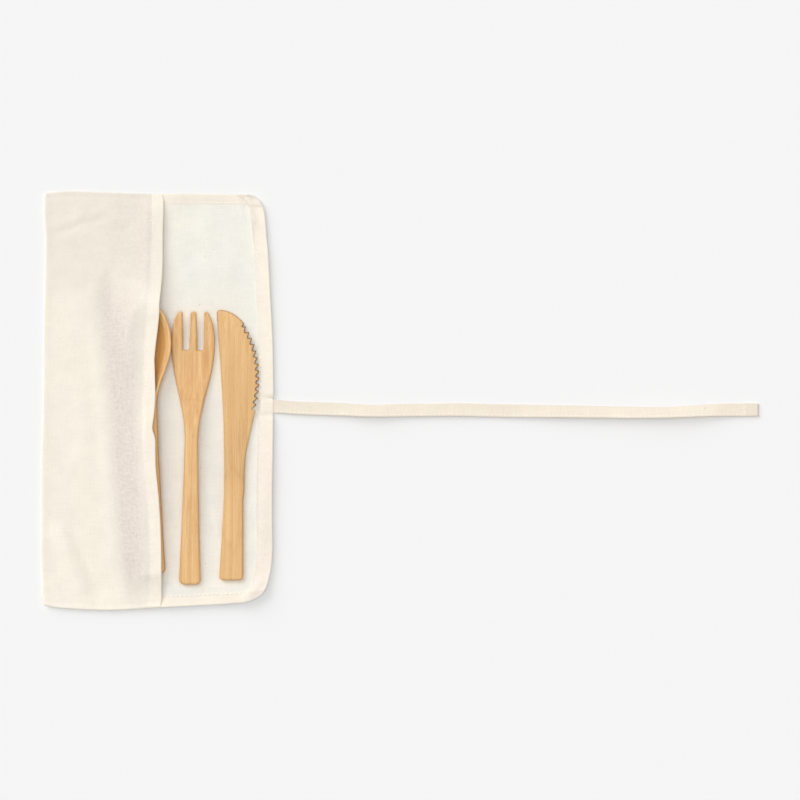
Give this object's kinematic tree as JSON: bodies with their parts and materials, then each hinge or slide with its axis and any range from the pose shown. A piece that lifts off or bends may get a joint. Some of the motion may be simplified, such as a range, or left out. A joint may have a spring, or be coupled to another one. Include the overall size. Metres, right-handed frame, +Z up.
{
  "type": "bamboo cutlery set in a cotton pouch",
  "caption": "Flat bamboo spoon, fork and toothed knife with an open folded cotton pouch, hemmed along its pocket and flap, and a long flat tie sewn to its edge.",
  "frame": {"origin": "middle of the open pouch's footprint, on its underside, which lies flat on the table", "axes": "+X from the pouch's fold across the flap towards the tie, +Y along the cutlery towards its heads, +Z up"},
  "size_m": [0.5257, 0.305, 0.012],
  "materials": {
    "unbleached_cotton": "plain woven thin cotton, unbleached, matt",
    "cotton_tape": "folded and stitched cotton tape, matt",
    "bamboo_spoon": "sanded and lightly oiled bamboo, fine long grain",
    "bamboo_fork": "sanded and lightly oiled bamboo, fine long grain",
    "bamboo_knife": "sanded and lightly oiled bamboo, fine long grain"
  },
  "bodies": {
    "root": {"pouch": "unbleached_cotton", "tie": "cotton_tape", "spoon": "bamboo_spoon", "fork": "bamboo_fork", "knife": "bamboo_knife"}
  },
  "joints": []
}
